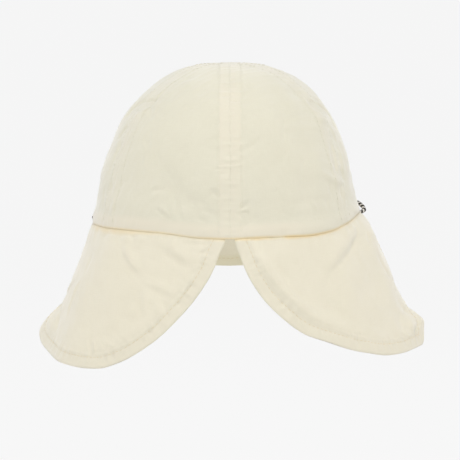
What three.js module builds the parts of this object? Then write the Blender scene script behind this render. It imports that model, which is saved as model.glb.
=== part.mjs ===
// A child's sun hat of thin woven cloth: a six-panel crown, a soft turned-down peak in front,
// and two neck flaps that part at the centre back. Millimetres, +Z up.
// The origin is the centre of the head opening, level with the crown's sewn edge.
// The back of the hat faces -Y and the peak points to +Y. An azimuth is in degrees round the
// opening: 0 at the centre back, 90 at +X, 180 at the centre front.
import * as THREE from "three";

// Cloth and clearances
const CLOTH = 1.2;
const HEM_CLOTH = 2.0;
const HEM_WIDTH = 6.5;
const SEAM_GAP = 0.3;
const HEM_REACH = HEM_WIDTH + 1;
const SEAM_BAND = 6;
const SEAM_RISE = 0.4;

// Crown
const CROWN_HEIGHT = 92;
const EDGE_HALF_WIDTH = 76.7;
const EDGE_HALF_DEPTH = 89.5;
const CROWN_LEAN = 2.6;
const LEAN_POWER = 2.5;
const CROWN_HEM = 12;
const CROWN_TIP = 0.995;
const PANEL_SPAN = 60;

// The crown's sections from its edge to its top: height above the edge and half width
const CROWN_SECTIONS = [
  { height: 0, halfWidth: EDGE_HALF_WIDTH },
  { height: 7, halfWidth: 75.5 },
  { height: 20, halfWidth: 72.8 },
  { height: 34, halfWidth: 69.9 },
  { height: 47, halfWidth: 65.3 },
  { height: 60, halfWidth: 59.9 },
  { height: 70, halfWidth: 52.8 },
  { height: 78, halfWidth: 44.6 },
  { height: 84, halfWidth: 36.4 },
  { height: 88.5, halfWidth: 27 },
  { height: 91.2, halfWidth: 14.5 },
  { height: CROWN_HEIGHT, halfWidth: 0 },
].map((row, rise) => ({ ...row, rise }));

// How far the sewn edge wanders up from its plane, round the opening
const EDGE_WAVE = [
  { azimuth: -180, lift: 1 },
  { azimuth: -105, lift: 0.5 },
  { azimuth: -90, lift: 0 },
  { azimuth: -75, lift: 1.4 },
  { azimuth: -45, lift: 2.5 },
  { azimuth: -30, lift: 2.6 },
  { azimuth: -12, lift: 0.8 },
  { azimuth: 0, lift: 0.5 },
  { azimuth: 15, lift: 1.4 },
  { azimuth: 35, lift: 1 },
  { azimuth: 48, lift: 2 },
  { azimuth: 62, lift: 4.6 },
  { azimuth: 78, lift: 6.7 },
  { azimuth: 90, lift: 6 },
  { azimuth: 105, lift: 3.5 },
  { azimuth: 130, lift: 1 },
  { azimuth: 180, lift: 1 },
];

// Neck flaps: how they hang. The flare is from the vertical, and the shoulder is the roll of
// cloth just under the seam.
const FLAP_HANG = [
  { azimuth: -110, flare: 18, shoulder: 1.2 },
  { azimuth: -92, flare: 21.3, shoulder: 1 },
  { azimuth: -75, flare: 22.7, shoulder: 0.6 },
  { azimuth: -55, flare: 23, shoulder: 1.2 },
  { azimuth: -30, flare: 22, shoulder: 0.8 },
  { azimuth: 0, flare: 20, shoulder: 0.6 },
  { azimuth: 30, flare: 22, shoulder: 0.8 },
  { azimuth: 60, flare: 24, shoulder: 1.8 },
  { azimuth: 78, flare: 23.9, shoulder: 4.6 },
  { azimuth: 92, flare: 20.1, shoulder: 4.7 },
  { azimuth: 110, flare: 19, shoulder: 3 },
];
const SHOULDER_REACH = 3;

// How each flap's front lower corner curls outwards: where the curl starts, over what azimuth
// and depth it grows, and how far the cloth then stands out
const LEFT_CURL = { azimuth: 68, azimuthSpan: 23, depth: 48.5, depthSpan: 16, reach: 9 };
const RIGHT_CURL = { azimuth: 65.5, azimuthSpan: 18.5, depth: 53.5, depthSpan: 14, reach: 9 };
const CURL_POWER = 1.5;
const FLAP_INSET = 1.2;
const FLAP_SPAN = 120;
const FLAP_DEPTH = 76;
const SEWN_DROP = 1.15;
const PEAK_SEWN_DROP = 1.25;

// The flaps' hemmed outlines, from the split at the centre back round to the front end of the
// seam: depth below the seam along the cloth. The corners mark the ends of the lower side.
const FLAP_LEFT_OUTLINE = [
  { azimuth: 2, depth: 0, corner: "split" },
  { azimuth: 4, depth: 7.5 },
  { azimuth: 6, depth: 16.5 },
  { azimuth: 10, depth: 28.3 },
  { azimuth: 16, depth: 42.8 },
  { azimuth: 24, depth: 60 },
  { azimuth: 33, depth: 72, corner: "low" },
  { azimuth: 40, depth: 76.6 },
  { azimuth: 48, depth: 78.2 },
  { azimuth: 56, depth: 78 },
  { azimuth: 64, depth: 76.3 },
  { azimuth: 72, depth: 74.6 },
  { azimuth: 86, depth: 65, corner: "front" },
  { azimuth: 88.5, depth: 59 },
  { azimuth: 93, depth: 44 },
  { azimuth: 98.5, depth: 18 },
  { azimuth: 104, depth: 0, corner: "end" },
];
const FLAP_RIGHT_OUTLINE = [
  { azimuth: 2, depth: 0, corner: "split" },
  { azimuth: 4, depth: 9.3 },
  { azimuth: 6, depth: 17.8 },
  { azimuth: 10, depth: 29.3 },
  { azimuth: 16, depth: 42 },
  { azimuth: 24, depth: 53.4 },
  { azimuth: 33, depth: 60.3, corner: "low" },
  { azimuth: 44, depth: 68.3 },
  { azimuth: 56, depth: 75.3 },
  { azimuth: 64, depth: 78.2 },
  { azimuth: 72, depth: 77.7 },
  { azimuth: 81.5, depth: 65, corner: "front" },
  { azimuth: 88, depth: 55 },
  { azimuth: 92.7, depth: 37.5 },
  { azimuth: 98.5, depth: 18 },
  { azimuth: 104, depth: 0, corner: "end" },
];

// Soft folds, each a ridge (or a hollow, when its height is negative) between two places
const FLAP_FOLDS = [
  { fromAzimuth: -25, fromDepth: 5, toAzimuth: -16, toDepth: 10, width: 5, height: 1.4 },
  { fromAzimuth: -26, fromDepth: 11, toAzimuth: -15, toDepth: 16, width: 4, height: -1.2 },
  { fromAzimuth: -46, fromDepth: 10, toAzimuth: -32, toDepth: 28, width: 5, height: -1 },
  { fromAzimuth: -52, fromDepth: 8, toAzimuth: -44, toDepth: 70, width: 9, height: 1.2 },
  { fromAzimuth: -73, fromDepth: 14, toAzimuth: -65, toDepth: 54, width: 7, height: 1.2 },
  { fromAzimuth: 62, fromDepth: 4, toAzimuth: 40, toDepth: 18, width: 5, height: 1.4 },
  { fromAzimuth: 64, fromDepth: 8, toAzimuth: 42, toDepth: 21, width: 4, height: -1.4 },
  { fromAzimuth: 57, fromDepth: 26, toAzimuth: 55, toDepth: 70, width: 10, height: 1.2 },
  { fromAzimuth: 10, fromDepth: 9, toAzimuth: 28, toDepth: 43, width: 6, height: 1 },
];
const CROWN_FOLDS = [
  { fromAzimuth: -33, fromDepth: 37, toAzimuth: -11, toDepth: 14, width: 6, height: -1.2 },
  { fromAzimuth: 47, fromDepth: 32, toAzimuth: 63, toDepth: 24, width: 5, height: 1 },
  { fromAzimuth: 63, fromDepth: 46, toAzimuth: 60, toDepth: 33, width: 5, height: -1.2 },
  { fromAzimuth: -70, fromDepth: 65, toAzimuth: -54, toDepth: 69, width: 6, height: -1 },
  { fromAzimuth: 55, fromDepth: 67, toAzimuth: 70, toDepth: 66, width: 6, height: -1 },
  { fromAzimuth: 118, fromDepth: 30, toAzimuth: 150, toDepth: 16, width: 8, height: -1.2 },
  { fromAzimuth: -150, fromDepth: 40, toAzimuth: -125, toDepth: 18, width: 8, height: -1.2 },
];

// Peak: it spans the front between the flaps, and turns down more towards its edge
const PEAK_HALF_SPAN = 74;
const PEAK_CLOTH = 1.6;
const PEAK_DROOP = 40;
const PEAK_BEND = 0.32;
const PEAK_OUTLINE = [
  { fromFront: 0, depth: 55 },
  { fromFront: 20, depth: 53 },
  { fromFront: 38, depth: 46 },
  { fromFront: 52, depth: 35 },
  { fromFront: 63, depth: 22 },
  { fromFront: 70, depth: 11 },
  { fromFront: PEAK_HALF_SPAN, depth: 2 },
];

// Front cord: from the right temple round above the peak to the left temple. Heights are above
// the crown's edge, and the stand-off is from the crown's surface.
const CORD_DIAMETER = 2.4;
const CORD_SIDES = 8;
const CORD_STEPS = 72;
const CORD_ROUTE = [
  { azimuth: 94.6, height: 1.4, standOff: 1 },
  { azimuth: 95.6, height: 1.7, standOff: 2.2 },
  { azimuth: 96.6, height: 2.8, standOff: 2.2 },
  { azimuth: 98, height: 4.2, standOff: 1.6 },
  { azimuth: 99.8, height: 5.6, standOff: 0.9 },
  { azimuth: 102, height: 6.5, standOff: 0.1 },
  { azimuth: 105, height: 6.6, standOff: 0 },
  { azimuth: 120, height: 6, standOff: 0 },
  { azimuth: 180, height: 6, standOff: 0 },
  { azimuth: 240, height: 5.5, standOff: 0 },
  { azimuth: 255, height: 3.6, standOff: 0 },
  { azimuth: 260.5, height: 1.4, standOff: 0 },
];

// Mesh rows and columns
const PANEL_COLUMNS = 8;
const PANEL_ROWS = 14;
const FLAP_COLUMNS = 22;
const FLAP_ROWS = 12;
const PEAK_COLUMNS = 26;
const PEAK_ROWS = 6;
const OUTLINE_STEPS = 96;

const radians = THREE.MathUtils.degToRad;
const degrees = THREE.MathUtils.radToDeg;
const mix = THREE.MathUtils.lerp;
const clamp = THREE.MathUtils.clamp;
const smoothstep = THREE.MathUtils.smoothstep;

// A smooth curve through a table's rows that never overshoots them, as a function
function smoothColumn(rows, key, column) {
  const x = rows.map((row) => row[key]);
  const y = rows.map((row) => row[column]);
  const last = x.length - 1;
  const rise = x.slice(1).map((value, i) => (y[i + 1] - y[i]) / (value - x[i]));
  const slope = y.map((_, i) => {
    if (i === 0) return rise[0];
    if (i === last) return rise[last - 1];
    if (rise[i - 1] * rise[i] <= 0) return 0;
    const before = x[i] - x[i - 1];
    const after = x[i + 1] - x[i];
    const early = 2 * after + before;
    const late = after + 2 * before;
    return (early + late) / (early / rise[i - 1] + late / rise[i]);
  });
  return (at) => {
    const i = clamp(x.findIndex((value) => value > at) - 1, -1, last - 1);
    const from = i < 0 ? (at < x[0] ? 0 : last - 1) : i;
    const span = x[from + 1] - x[from];
    const t = clamp((at - x[from]) / span, 0, 1);
    const s = 1 - t;
    return (
      y[from] * (1 + 2 * t) * s * s +
      slope[from] * span * t * s * s +
      y[from + 1] * t * t * (3 - 2 * t) -
      slope[from + 1] * span * t * t * s
    );
  };
}

const sectionHeight = smoothColumn(CROWN_SECTIONS, "rise", "height");
const sectionWidth = smoothColumn(CROWN_SECTIONS, "rise", "halfWidth");
const sectionAt = smoothColumn(CROWN_SECTIONS, "height", "rise");
const edgeLift = smoothColumn(EDGE_WAVE, "azimuth", "lift");
const flapFlare = smoothColumn(FLAP_HANG, "azimuth", "flare");
const flapShoulder = smoothColumn(FLAP_HANG, "azimuth", "shoulder");
const peakDepth = smoothColumn(PEAK_OUTLINE, "fromFront", "depth");

// The azimuth brought into -180 to 180
const wrap = (azimuth) => azimuth - 360 * Math.round(azimuth / 360);

// The outward direction, level, at an azimuth of the oval opening
function outward(azimuth) {
  const a = radians(azimuth);
  return new THREE.Vector3(EDGE_HALF_DEPTH * Math.sin(a), -EDGE_HALF_WIDTH * Math.cos(a), 0).normalize();
}

// How high a set of folds stands at a place of the pattern, with the local length of a degree
function foldRelief(folds, azimuth, depth, perDegree) {
  let relief = 0;
  for (const fold of folds) {
    const start = new THREE.Vector2(fold.fromAzimuth * perDegree, fold.fromDepth);
    const along = new THREE.Vector2(fold.toAzimuth * perDegree, fold.toDepth).sub(start);
    const here = new THREE.Vector2(azimuth * perDegree, depth).sub(start);
    const t = clamp(here.dot(along) / along.lengthSq(), 0, 1);
    const away = here.distanceTo(along.multiplyScalar(t)) / fold.width;
    relief += fold.height * Math.exp(-away * away);
  }
  return relief;
}

// The crown's outer surface: rise runs through the sections, from 0 at the edge to 1 at the top
function crownPoint(azimuth, rise) {
  const section = rise * (CROWN_SECTIONS.length - 1);
  const height = sectionHeight(section);
  const width = sectionWidth(section);
  const a = radians(azimuth);
  const fade = 1 - height / CROWN_HEIGHT;
  const lean = CROWN_LEAN * (1 - (height / CROWN_HEIGHT) ** LEAN_POWER);
  const relief = foldRelief(CROWN_FOLDS, wrap(azimuth), height, radians(width));
  const nearEdge = clamp(height / CROWN_HEM, 0, 1);
  return new THREE.Vector3(
    width * Math.sin(a) - lean * Math.sin(a) ** 2,
    (-width * EDGE_HALF_DEPTH * Math.cos(a)) / EDGE_HALF_WIDTH,
    height + edgeLift(wrap(azimuth)) * fade * fade,
  ).addScaledVector(outward(azimuth), relief * nearEdge);
}

// How far a flap's front lower corner stands out at a place
function cornerCurl(azimuth, depth) {
  const curl = azimuth < 0 ? LEFT_CURL : RIGHT_CURL;
  const round = Math.max(0, (Math.abs(azimuth) - curl.azimuth) / curl.azimuthSpan) ** CURL_POWER;
  return curl.reach * round * smoothstep(depth, curl.depth, curl.depth + curl.depthSpan);
}

// A flap's middle surface at an azimuth and a depth below the seam, measured along the cloth
function flapPoint(azimuth, depth) {
  const flare = radians(flapFlare(azimuth));
  const shoulder = flapShoulder(azimuth) * (1 - Math.exp(-depth / SHOULDER_REACH));
  const perDegree = radians(EDGE_HALF_WIDTH + depth * Math.sin(flare));
  const settle = clamp(depth / CROWN_HEM, 0, 1);
  const relief = settle * foldRelief(FLAP_FOLDS, azimuth, depth, perDegree);
  const point = crownPoint(azimuth, 0);
  const curl = cornerCurl(azimuth, depth);
  point.addScaledVector(outward(azimuth), depth * Math.sin(flare) + curl + shoulder + relief - FLAP_INSET);
  point.z -= depth * Math.cos(flare) + SEWN_DROP;
  return point;
}

// The peak's middle surface at an azimuth and a depth from its seam, bending down as it goes
function peakPoint(azimuth, depth) {
  const droop = radians(PEAK_DROOP + (PEAK_BEND * depth) / 2);
  const point = crownPoint(azimuth, 0);
  point.addScaledVector(outward(azimuth), depth * Math.cos(droop) - FLAP_INSET);
  point.z -= depth * Math.sin(droop) + PEAK_SEWN_DROP;
  return point;
}

// The unit normal of a surface given as a function of two pattern coordinates
function normalOf(surface, a, b) {
  const step = 0.01;
  const acrossA = surface(a + step, b).sub(surface(a - step, b));
  const acrossB = surface(a, b + step).sub(surface(a, b - step));
  return acrossA.cross(acrossB).normalize();
}

// A closed geometry from vertices and triangles, with its faces turned outwards
function closedGeometry(vertices, triangles) {
  const volume = triangles.reduce((sum, [a, b, c]) => {
    const cross = vertices[b].clone().cross(vertices[c]);
    return sum + vertices[a].dot(cross);
  }, 0);
  const faces = volume < 0 ? triangles.map(([a, b, c]) => [a, c, b]) : triangles;
  const geometry = new THREE.BufferGeometry().setFromPoints(vertices);
  geometry.setIndex(faces.flat());
  geometry.computeVertexNormals();
  return geometry;
}

// A wall of cloth with thickness. pattern(i, j) gives a place on the surface, as its two pattern
// coordinates, and front and back give how far the two faces lie from the surface there.
function clothWall({ surface, pattern, columns, rows, front, back }) {
  const vertices = [];
  const triangles = [];
  const stride = columns + 1;
  const layer = stride * (rows + 1);
  for (const side of [front, back]) {
    for (let j = 0; j <= rows; j++) {
      for (let i = 0; i <= columns; i++) {
        const [a, b] = pattern(i, j);
        const point = surface(a, b);
        vertices.push(point.addScaledVector(normalOf(surface, a, b), side(a, b, i, j)));
      }
    }
  }
  const quad = (a, b, c, d) => triangles.push([a, b, c], [a, c, d]);
  for (let j = 0; j < rows; j++) {
    for (let i = 0; i < columns; i++) {
      const corner = j * stride + i;
      quad(corner, corner + 1, corner + stride + 1, corner + stride);
      quad(layer + corner, layer + corner + stride, layer + corner + stride + 1, layer + corner + 1);
    }
  }
  for (let i = 0; i < columns; i++) {
    const top = rows * stride + i;
    quad(i, layer + i, layer + i + 1, i + 1);
    quad(top, top + 1, layer + top + 1, layer + top);
  }
  for (let j = 0; j < rows; j++) {
    const left = j * stride;
    const right = left + columns;
    quad(left, left + stride, layer + left + stride, layer + left);
    quad(right, layer + right, layer + right + stride, right + stride);
  }
  return closedGeometry(vertices, triangles);
}

// The half width of the crown at a rise, kept from vanishing at the top
function crownReach(rise) {
  return Math.max(sectionWidth(rise * (CROWN_SECTIONS.length - 1)), 1);
}

// One crown panel between two seams. Its cloth is doubled beside each seam and at the edge.
function crownPanel(firstAzimuth) {
  const middle = firstAzimuth + PANEL_SPAN / 2;
  // Columns: one at each seam, one where the seam's band ends, the rest spread evenly between
  const pattern = (i, j) => {
    const rise = CROWN_TIP * (j / PANEL_ROWS);
    const half = PANEL_SPAN / 2 - degrees(SEAM_GAP / 2 / crownReach(rise));
    const band = Math.min(degrees(SEAM_BAND / crownReach(rise)), half / 2);
    const inner = mix(-(half - band), half - band, (i - 1) / (PANEL_COLUMNS - 2));
    if (i === 0) return [middle - half, rise];
    if (i === PANEL_COLUMNS) return [middle + half, rise];
    return [middle + inner, rise];
  };
  const atSeam = (i) => i === 0 || i === PANEL_COLUMNS;
  const inHem = (rise) => sectionHeight(rise * (CROWN_SECTIONS.length - 1)) < CROWN_HEM;
  return clothWall({
    surface: crownPoint,
    pattern,
    columns: PANEL_COLUMNS,
    rows: PANEL_ROWS,
    front: (azimuth, rise, i) => (atSeam(i) || rise === 0 ? SEAM_RISE : 0),
    back: (azimuth, rise) => -(inHem(rise) ? HEM_CLOTH : CLOTH),
  });
}

// The stretch of an outline between two named corners, as a function of 0 to 1 along it
function outlineSide(outline, side, from, to) {
  const rows = outline.map((row) => ({ ...row, azimuth: row.azimuth * side }));
  let travelled = 0;
  const places = rows.map((row, i) => {
    const here = flapPoint(row.azimuth, row.depth);
    if (i > 0) travelled += here.distanceTo(flapPoint(rows[i - 1].azimuth, rows[i - 1].depth));
    return { ...row, travelled };
  });
  const azimuth = smoothColumn(places, "travelled", "azimuth");
  const depth = smoothColumn(places, "travelled", "depth");
  const start = places.find((row) => row.corner === from).travelled;
  const end = places.find((row) => row.corner === to).travelled;
  return (t) => [azimuth(mix(start, end, t)), depth(mix(start, end, t))];
}

// One neck flap: a four-sided patch stretched between its seam and its hemmed outline
function neckFlap(outline, side) {
  const inner = outlineSide(outline, side, "split", "low");
  const lower = outlineSide(outline, side, "low", "front");
  const frontEdge = outlineSide(outline, side, "end", "front");
  const splitCorner = inner(0);
  const endCorner = frontEdge(0);
  const seam = (t) => [mix(splitCorner[0], endCorner[0], t), 0];
  const patch = (u, v) =>
    [0, 1].map(
      (axis) =>
        (1 - v) * seam(u)[axis] +
        v * lower(u)[axis] +
        (1 - u) * inner(v)[axis] +
        u * frontEdge(v)[axis] -
        (1 - u) * (1 - v) * splitCorner[axis] -
        u * (1 - v) * endCorner[axis] -
        (1 - u) * v * lower(0)[axis] -
        u * v * lower(1)[axis],
    );
  const hemLine = [inner, lower, frontEdge].flatMap((edge) =>
    Array.from({ length: OUTLINE_STEPS }, (_, i) => flapPoint(...edge(i / (OUTLINE_STEPS - 1)))),
  );
  const hemDistance = (point) => Math.min(...hemLine.map((place) => place.distanceTo(point)));
  const halfWall = (a, b) => (hemDistance(flapPoint(a, b)) < HEM_REACH ? HEM_CLOTH : CLOTH) / 2;
  // The outermost columns and the lowest row stand about one hem's width from the outline
  const sideHem = HEM_WIDTH / FLAP_SPAN;
  const lowerHem = HEM_WIDTH / FLAP_DEPTH;
  const spread = (i) => {
    if (i === 0) return 0;
    if (i === FLAP_COLUMNS) return 1;
    return mix(sideHem, 1 - sideHem, (i - 1) / (FLAP_COLUMNS - 2));
  };
  const spreadDown = (j) => (j === FLAP_ROWS ? 1 : mix(0, 1 - lowerHem, j / (FLAP_ROWS - 1)));
  return clothWall({
    surface: flapPoint,
    pattern: (i, j) => patch(spread(i), spreadDown(j)),
    columns: FLAP_COLUMNS,
    rows: FLAP_ROWS,
    front: halfWall,
    back: (a, b) => -halfWall(a, b),
  });
}

// The soft peak, widest at the centre front and hemmed along its edge
function softPeak() {
  const halfWall = (a, b, i, j) => (j >= PEAK_ROWS - 1 ? HEM_CLOTH : PEAK_CLOTH) / 2;
  return clothWall({
    surface: peakPoint,
    pattern: (i, j) => {
      const fromFront = mix(-PEAK_HALF_SPAN, PEAK_HALF_SPAN, i / PEAK_COLUMNS);
      const depth = peakDepth(Math.abs(fromFront));
      const hem = Math.min(HEM_WIDTH, depth / 2);
      const inside = mix(0, depth - hem, j / (PEAK_ROWS - 1));
      return [180 + fromFront, j === PEAK_ROWS ? depth : inside];
    },
    columns: PEAK_COLUMNS,
    rows: PEAK_ROWS,
    front: halfWall,
    back: (a, b, i, j) => -halfWall(a, b, i, j),
  });
}

// The cord's centre line, lying on the crown or standing off it where it bulges
class CordRoute extends THREE.Curve {
  constructor() {
    super();
    this.height = smoothColumn(CORD_ROUTE, "azimuth", "height");
    this.standOff = smoothColumn(CORD_ROUTE, "azimuth", "standOff");
  }
  getPoint(t) {
    const azimuth = mix(CORD_ROUTE[0].azimuth, CORD_ROUTE.at(-1).azimuth, t);
    const rise = sectionAt(this.height(azimuth)) / (CROWN_SECTIONS.length - 1);
    const clear = CORD_DIAMETER / 2 + SEAM_GAP + SEAM_RISE + this.standOff(azimuth);
    return crownPoint(azimuth, rise).addScaledVector(outward(azimuth), clear);
  }
}

function frontCord() {
  const section = new THREE.Shape();
  section.absarc(0, 0, CORD_DIAMETER / 2, 0, 2 * Math.PI);
  return new THREE.ExtrudeGeometry(section, {
    extrudePath: new CordRoute(),
    steps: CORD_STEPS,
    curveSegments: CORD_SIDES,
  });
}

const crownCloth = new THREE.MeshStandardMaterial({ color: 0xe6e1ce, roughness: 0.85, metalness: 0 });
const flapCloth = new THREE.MeshStandardMaterial({ color: 0xe8e2cf, roughness: 0.85, metalness: 0 });
const peakCloth = new THREE.MeshStandardMaterial({ color: 0xe4dec9, roughness: 0.85, metalness: 0 });
const cordYarn = new THREE.MeshStandardMaterial({ color: 0x2a2622, roughness: 0.7, metalness: 0 });

function named(name, geometry, material) {
  const mesh = new THREE.Mesh(geometry, material);
  mesh.name = name;
  return mesh;
}

const crown = new THREE.Group();
const PANELS = [
  { name: "crown_back_right", firstAzimuth: 0 },
  { name: "crown_side_right", firstAzimuth: 60 },
  { name: "crown_front_right", firstAzimuth: 120 },
  { name: "crown_front_left", firstAzimuth: 180 },
  { name: "crown_side_left", firstAzimuth: 240 },
  { name: "crown_back_left", firstAzimuth: 300 },
];
for (const panel of PANELS) {
  crown.add(named(panel.name, crownPanel(panel.firstAzimuth), crownCloth));
}

const hat = new THREE.Group();
hat.add(crown);
hat.add(named("flap_left", neckFlap(FLAP_LEFT_OUTLINE, -1), flapCloth));
hat.add(named("flap_right", neckFlap(FLAP_RIGHT_OUTLINE, 1), flapCloth));
hat.add(named("peak", softPeak(), peakCloth));
hat.add(named("front_cord", frontCord(), cordYarn));

export default hat;
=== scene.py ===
# A child's sun hat of thin cream cloth, seen from the back: six crown panels, a soft front peak,
# two neck flaps that part at the centre back, topstitched seams and hems, and a twisted cord.
# Shapes are worked out in millimetres and written to the meshes in metres.
import math

import bpy
import numpy as np
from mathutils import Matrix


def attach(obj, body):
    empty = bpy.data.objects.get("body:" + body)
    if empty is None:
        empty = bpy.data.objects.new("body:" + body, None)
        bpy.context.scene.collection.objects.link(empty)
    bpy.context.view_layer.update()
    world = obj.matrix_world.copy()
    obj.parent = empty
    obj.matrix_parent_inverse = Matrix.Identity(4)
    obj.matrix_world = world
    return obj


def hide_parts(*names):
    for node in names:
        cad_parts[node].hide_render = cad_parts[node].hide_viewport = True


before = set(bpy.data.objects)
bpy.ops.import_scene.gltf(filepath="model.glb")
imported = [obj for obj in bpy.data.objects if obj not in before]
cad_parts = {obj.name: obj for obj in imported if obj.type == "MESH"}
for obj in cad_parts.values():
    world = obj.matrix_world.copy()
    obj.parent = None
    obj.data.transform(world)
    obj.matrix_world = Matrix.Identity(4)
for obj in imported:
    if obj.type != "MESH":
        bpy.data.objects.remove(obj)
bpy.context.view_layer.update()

METRES = 0.001
TURN = 2 * math.pi


def table(columns, *rows):
    """A short table as a list of rows, each a dict by column name."""
    names = columns.split()
    return [dict(zip(names, row)) for row in rows]


def named_table(columns, *rows):
    """A short table whose rows are found by the name in their first column."""
    return {row[0]: entry for row, entry in zip(rows, table(columns, *rows))}


# Camera and stage
CAMERA_DISTANCE = 1.3
CAMERA_ELEVATION = math.radians(6.5)
CAMERA_TARGET_Z = -0.0046
METRES_PER_PIXEL = 0.000575
PHOTO_SIDE = 460
SENSOR_WIDTH = 36.0
FLOOR_Z = -0.32
FLOOR_SIDE = 160.0
BACKGROUND = (0.922, 0.922, 0.922)
FLOOR_GLOW = 0.966
FLOOR_MATT = 0.04
LIGHT_TARGET = (0, 0, 0.03)

# The studio's soft surround: how high a direction points, and how bright the surround is there
SURROUND = table(
    "upward brightness",
    (-1, 0.92),
    (-0.02, 0.78),
    (0.05, 0.24),
    (0.25, 0.24),
    (0.4, 0.82),
    (0.6, 0.82),
    (0.75, 0.56),
    (1, 0.56),
)
LIGHTS = table(
    "name x y z side power blue",
    ("key_light", 0, -1.0, 1.0, 0.8, 5.7, 1),
    ("low_light", 0, -1.4, -0.1, 0.8, 1.1, 1),
    ("top_light", 0, -0.1, 1.5, 0.8, 3.5, 1),
    ("left_light", -1.4, -0.5, 0.4, 0.8, 5.1, 0.88),
    ("right_light", 1.4, -0.5, 0.4, 0.8, 5.4, 0.85),
    ("front_light", 0, 1.3, 0.9, 0.8, 4.6, 1),
)

# Cloth: walls, the fine coordinates that the weave is laid by, and how far edges are tucked in
CLOTH = 0.9
FLAP_HALF = 0.4
PEAK_HALF = 0.6
CLOTH_SCALE = 10
TUCK = 4.0

# Where each piece lies on the weave, so that no two show the same threads
CROWN_ON_WEAVE = 200
PANEL_STEP_ON_WEAVE = 3
FLAP_ON_WEAVE = 600
PEAK_ON_WEAVE = 900

# Stitches: spacing, length, thickness, how far they are raised off the cloth, and the outline of
# one, from end to end
STITCH_PITCH = 2.8
STITCH_LENGTH = 2.1
THREAD_RADIUS = 0.17
THREAD_SIDES = 6
THREAD_FLATNESS = 0.8
SEAM_THREAD_RAISED = 0.08
FLAP_THREAD_RAISED = 0.04
PEAK_THREAD_RAISED = 0.1
STITCH_OUTLINE = table("along size", (-0.5, 0.05), (-0.38, 0.75), (0, 1), (0.38, 0.75), (0.5, 0.05))

# Seams of the crown: how far each side's allowance reaches, how crisp their relief is, and how much
# of the doubled cloth's colour shows at the side seams and, by height, along the back seam
SEAM_BAND = 6.0
SIDE_SEAM_CRISP = 0.35
BACK_SEAM_CRISP = 0.75
SIDE_SEAM_SHOW = 0.25
SEAM_SHOW = table("height share", (0, 0.5), (44, 0.55), (54, 0.85), (76, 0.85), (84, 0.3), (92, 0.2))

# How high a seam's band stands, and the grooves at the seam, at its stitches and beyond them
SEAM_RISE = 0.25
SEAM_GROOVES = table(
    "from_seam width depth",
    (0, 0.5, 0.15),
    (SEAM_BAND, 0.6, 0.07),
    (SEAM_BAND + 1.6, 1.1, 0.18),
)

# How far below the crown's top its broad unevenness and the puckers of its seams start and are full
UNEVEN_TO_TOP = (0, 14)
BAND_EDGE_TO_TOP = (8, 26)
BAND_TO_TOP = (12, 34)

# Hems of the flaps and the peak: their width, their stitch line, half their thickness, how far the
# edge is rounded and the inner side fades, and how deep and wide the stitches pull the cloth in
HEM_WIDTH = 8.4
HEM_STITCH = 6.2
HEM_HALF = 0.75
HEM_ROUND = 1.5
HEM_FADE = 0.3
FLAP_GROOVE = 0.32
FLAP_GROOVE_WIDTH = 0.6
PEAK_GROOVE = 0.3
PEAK_GROOVE_WIDTH = 0.45

# The puckers of a flap's hem grow less towards the front: between which azimuths, and by what share
HEM_PLAINER = (68, 82)
HEM_PLAINER_SHARE = 0.75

# Unevenness of the cloth, broad and fine: how high it is, how far apart its bumps are, and its seed
UNEVENNESS = named_table(
    "kind height length seed",
    ("crown_broad", 0.35, 30, 5),
    ("crown_fine", 0.1, 8, 9),
    ("flap_broad", 0.45, 34, 0),
    ("flap_fine", 0.1, 8, 1),
    ("peak_broad", 0.5, 40, 71),
    ("peak_fine", 0.08, 8, 72),
)

# Puckers along the edge of a seam's band, across the band and along hems, and gathers under the
# crown's edge: how high they are, how far apart, how far from their line they reach, and their seed
PUCKERS = named_table(
    "kind height pitch reach seed",
    ("band_edge", 0.2, 7.5, 4.5, 20),
    ("band", 0.25, 3.4, 4.6, 40),
    ("flap_hem_long", 0.28, 8.5, 4, 2),
    ("flap_hem_short", 0.2, 4.3, 4, 4),
    ("peak_hem", 0.15, 9, 4, 73),
    ("flap_gathers", 1.1, 9, 4.5, 3),
    ("peak_gathers", 0.8, 11, 4.5, 74),
)

# How far below the crown's edge the gathers start
GATHER_START = 1.2

# Crown
CROWN_HEIGHT = 92.0
EDGE_HALF_WIDTH = 76.4
EDGE_HALF_DEPTH = 89.5
CROWN_HEM = 12.0
PANEL_SPAN = 60.0
SEAM_AZIMUTHS = (0.0, 60.0, 120.0, 180.0, 240.0, 300.0)
CROWN_SECTIONS = table(
    "height half_width lean",
    (0, EDGE_HALF_WIDTH, 2.3),
    (7, 75.5, 2.5),
    (20, 72.8, 2.5),
    (34, 69.9, 2.3),
    (47, 65.3, 2),
    (60, 59.9, 1.4),
    (70, 52.8, 0.9),
    (78, 44.6, 0.45),
    (84, 36.4, 0.1),
    (88.5, 27, -0.2),
    (91.2, 14.5, -0.2),
    (CROWN_HEIGHT, 0, 0),
)
for rise, section in enumerate(CROWN_SECTIONS):
    section["rise"] = rise
LAST_SECTION = len(CROWN_SECTIONS) - 1

EDGE_WAVE = table(
    "azimuth lift",
    (-180, 1),
    (-105, 0.5),
    (-90, 0),
    (-75, 1),
    (-60, 1.6),
    (-52, 2.1),
    (-45, 2.4),
    (-30, 2.6),
    (-12, 0.8),
    (0, 0.5),
    (15, 1.1),
    (25, 0.9),
    (35, 0.55),
    (48, 1.5),
    (62, 4.1),
    (78, 6.5),
    (90, 6),
    (105, 3.5),
    (130, 1),
    (180, 1),
)

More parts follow.
